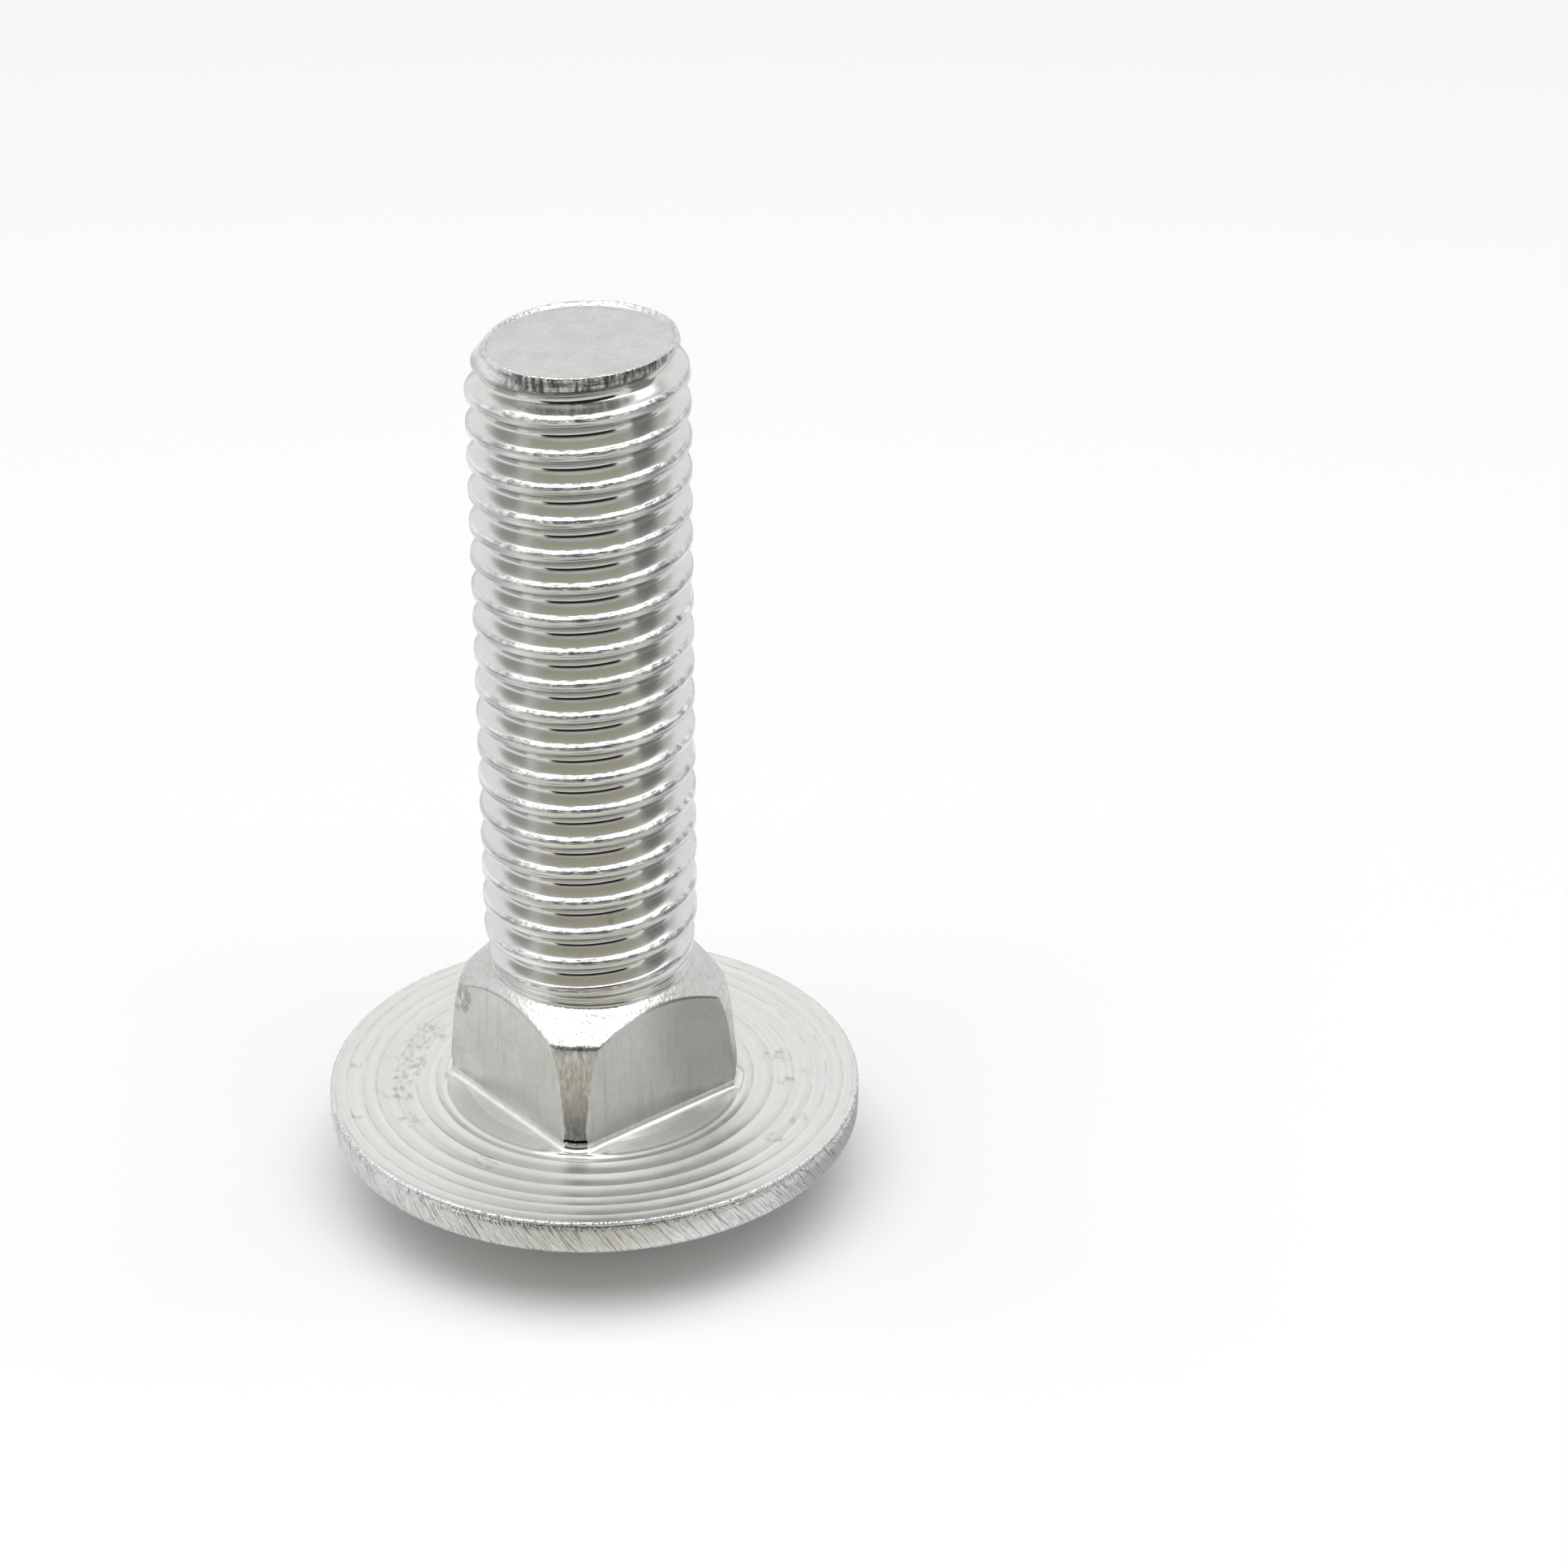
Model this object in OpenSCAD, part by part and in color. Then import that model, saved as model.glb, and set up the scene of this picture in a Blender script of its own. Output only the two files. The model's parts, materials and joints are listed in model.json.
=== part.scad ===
// Carriage bolt, M8 x 30, stainless steel: a low domed head, a square neck under it
// and a shank threaded up to the neck. It is modelled standing on its dome, with the
// thread end up and the flats of the neck square to X and Y.

/* [Shank] */
// Outside diameter of the thread
thread_d = 7.85; // [5.9:0.05:9.8]
// Length from the underside of the head to the thread end
shank_l = 29.7; // [18:0.1:80]
// How far the plain shank above the neck lies inside the outside of the thread
plain_step = 0.2; // [0.1:0.05:0.5]
// Height of the plain shank between the neck and the foot of the thread
plain_h = 0.7; // [0.3:0.1:3]
// Height over which the thread grows out of the plain shank
run_out_h = 0.4; // [0.2:0.1:1.2]
// How far the blunt point of the thread end lies inside the outside of the thread
point_step = 0.42; // [0.2:0.02:0.8]
// Height of the blunt point of the thread end
point_h = 1.3; // [0.4:0.1:2]

/* [Square neck] */
// How much wider the neck is across its flats than the thread
neck_over = 0.25; // [0:0.05:0.6]
// Height of the neck's corners above the underside of the head
corner_h = 4.2; // [2:0.1:8]
// Width of the blunt land on each corner, at its foot
corner_land = 1; // [0.6:0.05:1.6]
// Draft of the lands, which lean in towards the shank
corner_draft = 5.2; // [0:0.1:6]
// Slope of the shoulder from the corners up to the plain shank
shoulder_slope = 40; // [25:1:60]
// Radius of the fillet where the neck stands on the head
foot_fillet = 0.3; // [0.1:0.05:0.5]

/* [Head] */
// Diameter of the head
head_d = 19.8; // [15:0.1:26]
// Height of the head from the top of its dome to its underside
head_h = 4.1; // [3.2:0.1:6]
// Diameter of the small flat on top of the dome, on which the bolt stands
crown_flat = 4.4; // [3.4:0.1:5]
// Height of the straight rim
rim_h = 1.25; // [0.6:0.05:2]
// Radius on the edge between the rim and the underside
rim_edge = 0.15; // [0.05:0.05:0.4]

/* [Hidden] */
$fn = 96;

thread_r = thread_d / 2;
plain_r = thread_r - plain_step;
point_r = thread_r - point_step;
bolt_top = head_h + shank_l;

head_r = head_d / 2;
crown_r = crown_flat / 2;
dome_h = head_h - rim_h;
ball_z = (head_r * head_r + dome_h * dome_h - crown_r * crown_r) / (2 * dome_h);
dome_r = norm([crown_r, ball_z]);

neck_half = (thread_d + neck_over) / 2;
corner_short = neck_half - corner_land / sqrt(2);
foot_r = norm([neck_half, corner_short]);
corner_r = foot_r - (corner_h - foot_fillet) * tan(corner_draft);
shoulder_top = head_h + corner_h + (corner_r - plain_r) * tan(shoulder_slope);
thread_foot = shoulder_top + plain_h;

// The straight rim with its upper edge rounded, taken down to the floor
module rim_profile() {
    square([head_r, head_h - rim_edge]);
    square([head_r - rim_edge, head_h]);
    translate([head_r - rim_edge, head_h - rim_edge]) circle(r = rim_edge);
}

// The dome is a slice of a ball, as wide as the rim where the rim begins. The floor cuts
// the ball just above its lowest point, which leaves the small flat.
module head() {
    intersection() {
        rotate_extrude() rim_profile();
        translate([0, 0, ball_z]) sphere(r = dome_r);
    }
}

// The flare at the foot of a wall that stands at this distance from the axis
module foot_profile(wall) {
    difference() {
        translate([0, dome_h]) square([wall + foot_fillet, rim_h + foot_fillet]);
        translate([wall + foot_fillet, head_h + foot_fillet]) circle(r = foot_fillet);
    }
}

// Two opposite flats of the neck, each with the fillet at its foot
module flats_profile() {
    for (side = [0, 1])
        mirror([side, 0]) {
            translate([0, dome_h]) square([neck_half, shoulder_top - dome_h]);
            foot_profile(neck_half);
        }
}

// The turned outline that blunts the corners: leaning lands, then the sloping shoulder
module lands_profile() {
    polygon([
        [0, dome_h],
        [foot_r, dome_h],
        [foot_r, head_h + foot_fillet],
        [corner_r, head_h + corner_h],
        [plain_r, shoulder_top],
        [0, shoulder_top]
    ]);
    foot_profile(foot_r);
}

// The square neck is what the two pairs of flats and the turned outline share
module neck() {
    intersection() {
        rotate([90, 0, 0]) linear_extrude(height = 2 * head_r, center = true) flats_profile();
        rotate([90, 0, 90]) linear_extrude(height = 2 * head_r, center = true) flats_profile();
        rotate_extrude() lands_profile();
    }
}

// The plain shank, the thread's outside and the blunt point, turned in one outline
module shank() {
    rotate_extrude()
        polygon([
            [0, dome_h],
            [plain_r, dome_h],
            [plain_r, thread_foot],
            [thread_r, thread_foot + run_out_h],
            [thread_r, bolt_top - point_h],
            [point_r, bolt_top],
            [0, bolt_top]
        ]);
}

module carriage_bolt() {
    color([0.74, 0.74, 0.72]) {
        head();
        neck();
        shank();
    }
}

carriage_bolt();
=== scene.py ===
"""Carriage bolt, M8 x 30, stainless steel, standing on its domed head.

One closed skin stands for the whole bolt. The head, the square neck and the plain shank are
a stack of rings. The rolled thread is made by Geometry Nodes, and the sheared end closes it.
"""

import json
import math

import bmesh
import bpy
import numpy as np
from mathutils import Matrix, Vector, noise


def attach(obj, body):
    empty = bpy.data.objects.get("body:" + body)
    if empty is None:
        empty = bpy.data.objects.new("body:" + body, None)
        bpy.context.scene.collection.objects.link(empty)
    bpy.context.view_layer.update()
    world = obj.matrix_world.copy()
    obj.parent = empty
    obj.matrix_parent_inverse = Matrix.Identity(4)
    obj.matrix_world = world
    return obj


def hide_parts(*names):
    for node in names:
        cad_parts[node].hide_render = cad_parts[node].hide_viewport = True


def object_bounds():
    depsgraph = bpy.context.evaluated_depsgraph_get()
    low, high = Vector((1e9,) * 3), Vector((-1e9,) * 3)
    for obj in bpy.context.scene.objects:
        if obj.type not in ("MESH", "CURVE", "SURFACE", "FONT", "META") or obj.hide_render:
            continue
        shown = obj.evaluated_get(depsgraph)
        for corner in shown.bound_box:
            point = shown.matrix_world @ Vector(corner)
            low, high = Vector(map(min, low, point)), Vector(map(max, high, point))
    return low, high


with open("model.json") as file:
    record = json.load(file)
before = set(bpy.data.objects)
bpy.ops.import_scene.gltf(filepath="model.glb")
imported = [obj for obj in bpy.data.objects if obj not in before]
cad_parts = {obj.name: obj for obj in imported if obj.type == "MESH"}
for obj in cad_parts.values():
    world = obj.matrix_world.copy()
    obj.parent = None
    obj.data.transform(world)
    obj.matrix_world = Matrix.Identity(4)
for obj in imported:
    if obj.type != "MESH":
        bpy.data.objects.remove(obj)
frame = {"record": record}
cad_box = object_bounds()
MM = 0.001

# Sizes in millimetres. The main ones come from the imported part, and the rest repeat the solid's.
HEAD_R = (cad_box[1].x - cad_box[0].x) / 2 / MM
BOLT_TOP = cad_box[1].z / MM
THREAD_R = frame["record"]["mounts"][1]["dims"]["r_mm"]
HEAD_H = frame["record"]["mounts"][0]["pos_m"][2] / MM
NECK_HALF = frame["record"]["mounts"][2]["pos_m"][0] / MM

PLAIN_STEP = 0.2
SHANK_R = THREAD_R - PLAIN_STEP
CROWN_R = 2.2
RIM_H = 1.25
DOME_H = HEAD_H - RIM_H
CORNER_H = 4.2
CORNER_LAND = 1.0
CORNER_DRAFT = math.radians(5.2)
SHOULDER_SLOPE = math.radians(40)
FOOT_FILLET = 0.3

LAND_FOOT_R = math.hypot(NECK_HALF, NECK_HALF - CORNER_LAND / math.sqrt(2))
LAND_TOP_R = LAND_FOOT_R - (CORNER_H - FOOT_FILLET) * math.tan(CORNER_DRAFT)
CORNER_Z = HEAD_H + CORNER_H
SHOULDER_Z = CORNER_Z + (LAND_TOP_R - SHANK_R) * math.tan(SHOULDER_SLOPE)
MIDDLE = Vector((0, 0, BOLT_TOP / 2 * MM))

# The thread's profile, from the middle of a crest down to the root
PITCH = 1.25
CREST_WIDTH = 0.28
CREST_CURVE = 0.6
LIP_WIDTH = 0.075
LIP_SLOPE = math.tan(math.radians(48))
FLANK_SLOPE = math.tan(math.radians(60))
LIP_CURVE = (FLANK_SLOPE - LIP_SLOPE) / (2 * LIP_WIDTH)
ROOT_R = 0.19

# Where a crest crosses the +X side near the end, how many turns the grid has below it, and the two ends
CREST_AT = 32.555
TURNS_BELOW = 20
TURNS = TURNS_BELOW + 1
PLAIN_H = 0.33
THREAD_FOOT = SHOULDER_Z + PLAIN_H
POINT_STEP = 0.27
POINT_H = 1.3

# How proud of the shank the first crest is, the heights above the foot between which it grows to a full one,
# and the height over which the groove begins
FIRST_CREST_STEP = 0.06
FIRST_CREST_H = 0.45
FULL_CREST_H = 1.6
RUN_IN_H = 0.3

# Shearing pressed the groove shut between these depths below the end, down to the last of its depth
SHUT_FROM = 0.46
SHUT_TO = 0.12
OPEN_DEPTH = 1.0
SHUT_DEPTH = 0.02

# The seam that rolling leaves just below the middle of the crest, and the ragged lips at both its sides
SEAM_DEPTH = 0.035
SEAM_BELOW = 0.03
SEAM_HALF_WIDTH = 0.05
RAGGED_DEPTH = 0.05
RAGGED_FROM = (0.05, 0.12)
RAGGED_TO = (0.28, 0.16)

# Where the photograph was taken from. The lens is as long as this many pixels of the picture are wide.
CAMERA_POLAR = math.radians(-39.7)
CAMERA_ELEVATION = 28.634
CAMERA_DISTANCE = 156.94 * MM
AIM_RIGHT = 7.104 * MM
AIM_HEIGHT = 16.507 * MM
PICTURE_PIXELS = 1932
LENS_PIXELS = 5347.8
SENSOR_WIDTH = 36.0

# How fine the skin is
COLUMNS = 128
ROWS_PER_TURN = 30
ROWS_CROWD = 0.45
AROUND = np.arange(COLUMNS) * 2 * math.pi / COLUMNS


def v_depth():
    """Depth at which the two straight flanks would meet, below the crest."""
    flank = PITCH / 2 - CREST_WIDTH / 2 - LIP_WIDTH
    lip = LIP_SLOPE * LIP_WIDTH + LIP_CURVE * LIP_WIDTH**2
    return CREST_CURVE * (CREST_WIDTH / 2) ** 2 + lip + FLANK_SLOPE * flank


def smooth_low(a, b, reach):
    """The lower of two values, rounded over where they meet."""
    close = np.maximum(reach - np.abs(a - b), 0) / reach
    return np.minimum(a, b) - close * close * reach / 4


def ease(low, high, x):
    """0 below low, 1 above high, and a soft step between them."""
    t = np.clip((x - low) / (high - low), 0, 1)
    return t * t * (3 - 2 * t)


def hill(x, middle, width):
    """A soft hill of height 1 round a middle value."""
    return np.exp(-(((x - middle) / width) ** 2))


# Node helpers


def put(tree, kind, inputs=None, **settings):
    """Adds a node. inputs gives a value or another node's output for each of its sockets."""
    made = tree.nodes.new(kind)
    for name, value in settings.items():
        setattr(made, name, value)
    for name, value in (inputs or {}).items():
        if isinstance(value, bpy.types.NodeSocket):
            tree.links.new(value, made.inputs[name])
        else:
            made.inputs[name].default_value = value
    return made


def sum_of(tree, operation, *values, **settings):
    """The output of a Math node."""
    return put(tree, "ShaderNodeMath", dict(enumerate(values)), operation=operation, **settings).outputs[0]


def ramp(tree, value, low, high, out_low=0.0, out_high=1.0, soft=True):
    """The output of a Map Range node, clamped at both ends."""
    inputs = {0: value, 1: low, 2: high, 3: out_low, 4: out_high}
    kind = "SMOOTHSTEP" if soft else "LINEAR"
    return put(tree, "ShaderNodeMapRange", inputs, interpolation_type=kind).outputs[0]


def blend(tree, factor, a, b):
    """Colour a where factor is 0 and b where it is 1."""
    return put(tree, "ShaderNodeMix", {0: factor, 6: a, 7: b}, data_type="RGBA").outputs[2]


def new_group(name, kind, takes, gives):
    """An empty node group with its sockets. takes and gives map a socket's name to its type and value."""
    tree = bpy.data.node_groups.new(name, kind)
    for label, (socket, value) in takes.items():
        made = tree.interface.new_socket(name=label, in_out="INPUT", socket_type="NodeSocket" + socket)
        if value is not None:
            made.default_value = value
    for label, socket in gives.items():
        tree.interface.new_socket(name=label, in_out="OUTPUT", socket_type="NodeSocket" + socket)
    return tree, tree.nodes.new("NodeGroupInput"), tree.nodes.new("NodeGroupOutput")


# The thread


def climbing_rows(tree, size):
    """Each point's share of a turn round the axis, its height, and how far it is above the nearest crest."""
    flat = put(tree, "ShaderNodeSeparateXYZ", {0: put(tree, "GeometryNodeInputPosition").outputs[0]})
    around = sum_of(tree, "ADD", flat.outputs[0], 0.5)
    turn = sum_of(tree, "MULTIPLY", sum_of(tree, "ADD", flat.outputs[1], 0.5), size["Turns"])

    # The rows crowd at the crest and at the root, where the form is finest
    whole = sum_of(tree, "FLOOR", sum_of(tree, "ADD", turn, 0.0001))
    part = sum_of(tree, "MAXIMUM", sum_of(tree, "SUBTRACT", turn, whole), 0.0)
    swing = sum_of(tree, "SINE", sum_of(tree, "MULTIPLY", part, 4 * math.pi))
    eased = sum_of(tree, "SUBTRACT", part, sum_of(tree, "MULTIPLY", swing, ROWS_CROWD / (4 * math.pi)))

    climb = sum_of(tree, "ADD", sum_of(tree, "ADD", whole, eased), around)
    start = sum_of(tree, "MULTIPLY_ADD", size["Pitch"], -TURNS_BELOW, size["Crest height"])
    height = sum_of(tree, "MULTIPLY_ADD", climb, size["Pitch"], start)
    height = sum_of(tree, "MAXIMUM", height, size["Foot height"])
    height = sum_of(tree, "MINIMUM", height, size["Tip height"])

    # Half a turn puts the crest in the middle of its pitch, and two whole ones keep the sum above 0
    phase = sum_of(tree, "DIVIDE", sum_of(tree, "SUBTRACT", height, start), size["Pitch"])
    phase = sum_of(tree, "FRACT", sum_of(tree, "ADD", sum_of(tree, "SUBTRACT", phase, around), 2.5))
    above = sum_of(tree, "MULTIPLY", sum_of(tree, "SUBTRACT", phase, 0.5), size["Pitch"])
    return around, height, above


def profile_depth(tree, size, off):
    """Depth below the crest: a slightly round crest, a lip that rolls over into the flank, a round root."""
    half_crest = sum_of(tree, "MULTIPLY", size["Crest width"], 0.5)
    on_crest = sum_of(tree, "MINIMUM", off, half_crest)
    crest_depth = sum_of(tree, "MULTIPLY", sum_of(tree, "MULTIPLY", on_crest, on_crest), CREST_CURVE / MM)
    past_crest = sum_of(tree, "MAXIMUM", sum_of(tree, "SUBTRACT", off, half_crest), 0.0)
    on_lip = sum_of(tree, "MINIMUM", past_crest, size["Lip width"])
    lip_depth = sum_of(tree, "MULTIPLY_ADD", on_lip, LIP_CURVE / MM, LIP_SLOPE)
    lip_depth = sum_of(tree, "MULTIPLY", lip_depth, on_lip)
    past_lip = sum_of(tree, "MAXIMUM", sum_of(tree, "SUBTRACT", past_crest, size["Lip width"]), 0.0)
    v_form = sum_of(tree, "ADD", crest_depth, sum_of(tree, "MULTIPLY_ADD", past_lip, FLANK_SLOPE, lip_depth))

    widest = sum_of(tree, "MULTIPLY", size["Root radius"], math.cos(math.radians(30)))
    to_root = sum_of(tree, "SUBTRACT", sum_of(tree, "MULTIPLY", size["Pitch"], 0.5), off)
    to_root = sum_of(tree, "MINIMUM", to_root, widest)
    root_sq = sum_of(tree, "MULTIPLY", size["Root radius"], size["Root radius"])
    to_root_sq = sum_of(tree, "MULTIPLY", to_root, to_root)
    bulge = sum_of(tree, "SQRT", sum_of(tree, "SUBTRACT", root_sq, to_root_sq))
    root = sum_of(tree, "MULTIPLY_ADD", size["Root radius"], -2.0, size["Depth of the V"])
    return sum_of(tree, "MINIMUM", v_form, sum_of(tree, "ADD", root, bulge))


def pressed_shut(tree, size, height, depth):
    """The groove's depth, with the groove pressed shut beside the end by the shearing."""
    shut_from = sum_of(tree, "SUBTRACT", size["Tip height"], SHUT_FROM * MM)
    shut = sum_of(tree, "SUBTRACT", size["Tip height"], SHUT_TO * MM)
    deepest = ramp(tree, height, shut_from, shut, OPEN_DEPTH * MM, SHUT_DEPTH * MM, soft=False)
    return sum_of(tree, "MINIMUM", depth, deepest)


def torn_depth(tree, size, cosine, sine, height, above, off):
    """The seam that rolling leaves along the crest, deeper towards the tip, and the crest's ragged lips."""
    along = sum_of(tree, "MULTIPLY", height, 1.5 / MM)
    lap = put(tree, "ShaderNodeCombineXYZ", {0: cosine, 1: sine, 2: along})
    torn = put(tree, "ShaderNodeTexNoise", {
        "Vector": lap.outputs[0],
        "W": size["Seed"],
        "Scale": 9.0,
        "Detail": 3.0,
        "Roughness": 0.7,
    }, noise_dimensions="4D").outputs[0]

    from_seam = sum_of(tree, "ABSOLUTE", sum_of(tree, "ADD", above, SEAM_BELOW * MM))
    seam = ramp(tree, from_seam, SEAM_HALF_WIDTH * MM, 0.0, soft=False)
    seam = sum_of(tree, "MULTIPLY", seam, ramp(tree, height, 12 * MM, 20 * MM, 0.3, 1.0))
    seam = sum_of(tree, "MULTIPLY", seam, size["Seam depth"])
    seam = sum_of(tree, "MULTIPLY", seam, ramp(tree, torn, 0.3, 0.55, 0.3, 1.0))

    on_lips = ramp(tree, off, RAGGED_FROM[0] * MM, RAGGED_FROM[1] * MM)
    on_lips = sum_of(tree, "MULTIPLY", on_lips, ramp(tree, off, RAGGED_TO[0] * MM, RAGGED_TO[1] * MM))
    ragged = sum_of(tree, "MULTIPLY", sum_of(tree, "SUBTRACT", torn, 0.45), size["Ragged"])
    ragged = sum_of(tree, "MULTIPLY", sum_of(tree, "MAXIMUM", ragged, 0.0), on_lips)
    return sum_of(tree, "ADD", seam, ragged)


def thread_ends(tree, size, height, rolled):
    """The radius with both ends of the thread: a low first crest, and a blunt point that cuts the last."""
    low_end = sum_of(tree, "ADD", size["Foot height"], FIRST_CREST_H * MM)
    full_end = sum_of(tree, "ADD", size["Foot height"], FULL_CREST_H * MM)
    first = ramp(tree, height, low_end, full_end, size["First crest radius"], size["Outside radius"])
    point_from = sum_of(tree, "SUBTRACT", size["Tip height"], size["Point height"])
    point = ramp(tree, height, point_from, size["Tip height"], soft=False)
    point = sum_of(tree, "MULTIPLY", sum_of(tree, "POWER", point, 1.3), size["Point step"])
    point = sum_of(tree, "SUBTRACT", size["Outside radius"], point)
    cut = sum_of(tree, "MINIMUM", rolled, sum_of(tree, "MINIMUM", first, point))
    run_in = sum_of(tree, "ADD", size["Foot height"], RUN_IN_H * MM)
    grown = ramp(tree, height, size["Foot height"], run_in)
    step = sum_of(tree, "SUBTRACT", cut, size["Shank radius"])
    return sum_of(tree, "MULTIPLY_ADD", step, grown, size["Shank radius"])


def thread_tree():
    """A grid rolled round the axis. Its rows climb with the thread, each at its own place on the profile."""
    takes = {
        "Columns": ("Int", COLUMNS),
        "Rows per turn": ("Int", ROWS_PER_TURN),
        "Turns": ("Int", TURNS),
        "Pitch": ("Float", PITCH * MM),
        "Crest height": ("Float", CREST_AT * MM),
        "Foot height": ("Float", THREAD_FOOT * MM),
        "Tip height": ("Float", BOLT_TOP * MM),
        "Outside radius": ("Float", THREAD_R * MM),
        "Shank radius": ("Float", SHANK_R * MM),
        "First crest radius": ("Float", (SHANK_R + FIRST_CREST_STEP) * MM),
        "Point step": ("Float", POINT_STEP * MM),
        "Point height": ("Float", POINT_H * MM),
        "Crest width": ("Float", CREST_WIDTH * MM),
        "Lip width": ("Float", LIP_WIDTH * MM),
        "Root radius": ("Float", ROOT_R * MM),
        "Depth of the V": ("Float", v_depth() * MM),
        "Seam depth": ("Float", SEAM_DEPTH * MM),
        "Ragged": ("Float", RAGGED_DEPTH * MM),
        "Seed": ("Float", 3.0),
        "Material": ("Material", None),
    }
    gives = {"Geometry": "Geometry"}
    tree, group_in, group_out = new_group("rolled_thread", "GeometryNodeTree", takes, gives)
    size = group_in.outputs
    rows = sum_of(tree, "MULTIPLY", size["Rows per turn"], size["Turns"])
    grid = put(tree, "GeometryNodeMeshGrid", {
        "Size X": 1.0,
        "Size Y": 1.0,
        "Vertices X": sum_of(tree, "ADD", size["Columns"], 1.0),
        "Vertices Y": sum_of(tree, "ADD", rows, 1.0),
    })

    around, height, above = climbing_rows(tree, size)
    off = sum_of(tree, "ABSOLUTE", above)
    turned = sum_of(tree, "MULTIPLY", around, 2 * math.pi)
    cosine = sum_of(tree, "COSINE", turned)
    sine = sum_of(tree, "SINE", turned)
    depth = pressed_shut(tree, size, height, profile_depth(tree, size, off))
    depth = sum_of(tree, "ADD", depth, torn_depth(tree, size, cosine, sine, height, above, off))
    rolled = sum_of(tree, "SUBTRACT", size["Outside radius"], depth)
    radius = thread_ends(tree, size, height, rolled)

    place = put(tree, "ShaderNodeCombineXYZ", {
        0: sum_of(tree, "MULTIPLY", radius, cosine),
        1: sum_of(tree, "MULTIPLY", radius, sine),
        2: height,
    })
    placed = put(tree, "GeometryNodeSetPosition", {"Geometry": grid.outputs[0], "Position": place.outputs[0]})
    welded = put(tree, "GeometryNodeMergeByDistance", {"Geometry": placed.outputs[0], "Distance": 1e-6})
    real = put(tree, "GeometryNodeRealizeInstances", {"Geometry": welded.outputs[0]})
    finish = {"Geometry": real.outputs[0], "Material": size["Material"]}
    painted = put(tree, "GeometryNodeSetMaterial", finish)
    tree.links.new(painted.outputs[0], group_out.inputs[0])
    return tree


def rolled_thread(finish):
    """The thread as a plain mesh."""
    maker = bpy.data.objects.new("thread_maker", bpy.data.meshes.new("thread_maker"))
    bpy.context.scene.collection.objects.link(maker)
    modifier = maker.modifiers.new("thread", "NODES")
    modifier.node_group = thread_tree()
    for item in modifier.node_group.interface.items_tree:
        if item.in_out == "INPUT":
            modifier[item.identifier] = finish if item.name == "Material" else item.default_value
    maker.update_tag()
    bpy.context.view_layer.update()
    seen = maker.evaluated_get(bpy.context.evaluated_depsgraph_get())
    mesh = bpy.data.meshes.new_from_object(seen)
    maker.modifiers.remove(modifier)
    bpy.data.objects.remove(maker)
    return mesh


# The head, the neck and the end, as stacks of rings


def turned_ring(radius, height, angle=AROUND):
    """One ring of points round the axis."""
    return np.stack([radius * np.cos(angle), radius * np.sin(angle), height + 0 * angle], axis=1)


DOME_RINGS = 25


def dome_rings():
    """From the edge of the small flat on the crown out to the rim."""
    ball_z = (HEAD_R**2 + DOME_H**2 - CROWN_R**2) / (2 * DOME_H)
    ball_r = math.hypot(CROWN_R, ball_z)
    low = math.asin(CROWN_R / ball_r)
    high = math.asin(HEAD_R / ball_r)
    rings = []
    for share in np.linspace(0, 1, DOME_RINGS + 1)[:-1]:
        lean = low + (high - low) * share
        rings.append(turned_ring(ball_r * math.sin(lean), ball_z - ball_r * math.cos(lean)))
    return rings


# The rings of the rim that lie in the crease under its thin lip
CREASE_FROM = 8
CREASE_TO = 10


def rim_rings():
    """The straight rim, soft where it meets the dome, with a thin ragged lip along its upper edge."""
    profile = [
        (HEAD_R - 0.10, DOME_H - 0.05),
        (HEAD_R - 0.04, DOME_H + 0.02),
        (HEAD_R - 0.01, DOME_H + 0.12),
        (HEAD_R, DOME_H + 0.25),
        (HEAD_R, DOME_H + 0.55),
        (HEAD_R, HEAD_H - 0.42),
        (HEAD_R - 0.03, HEAD_H - 0.28),
        (HEAD_R - 0.09, HEAD_H - 0.20),
        (HEAD_R - 0.12, HEAD_H - 0.165),
        (HEAD_R - 0.06, HEAD_H - 0.14),
        (HEAD_R - 0.01, HEAD_H - 0.125),
        (HEAD_R, HEAD_H - 0.09),
        (HEAD_R - 0.01, HEAD_H - 0.045),
        (HEAD_R - 0.04, HEAD_H - 0.01),
        (HEAD_R - 0.09, HEAD_H),
    ]
    rings = []
    for radius, height in profile:
        ragged = np.array([noise.noise((14 * math.cos(a), 14 * math.sin(a), height * 2)) for a in AROUND])
        ragged = ragged * hill(height, HEAD_H - 0.14, 0.1)
        rings.append(turned_ring(radius - 0.03 * np.abs(ragged), height + 0.05 * ragged))
    return rings


# Distances from the axis at which the turning tool stepped, and how deep it cut into a step of common width
TURNED_STEPS = (5.40, 5.97, 6.71, 7.49, 8.21, 8.73, 9.34, 9.74)
STEP_DEPTH = 0.042
STEP_WIDTH = 0.74
STEP_SHARES = (0.0, 0.06, 0.16, 0.34, 0.5, 0.66, 0.84, 0.95)
FACE_INNER_R = 5.68


def face_height(radius):
    """The turned underside: one shallow hollow between each tool step and the next."""
    sunk = 0
    for inner, outer in zip(TURNED_STEPS, TURNED_STEPS[1:]):
        if inner <= radius <= outer:
            across = (radius - inner) / (outer - inner)
            sunk = STEP_DEPTH * (outer - inner) / STEP_WIDTH * (1 - (1 - 2 * across) ** 2)
    uneven = np.array([noise.noise((1.5 * math.cos(a), 1.5 * math.sin(a), radius)) for a in AROUND])
    return HEAD_H - sunk * (1 + 0.5 * uneven)


def face_rings():
    """The underside of the head, from the rim in to the foot of the neck."""
    radii = []
    for inner, outer in zip(TURNED_STEPS, TURNED_STEPS[1:]):
        radii.extend(inner + (outer - inner) * share for share in STEP_SHARES)
    return [turned_ring(radius, face_height(radius)) for radius in reversed(radii) if radius > FACE_INNER_R]


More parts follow.
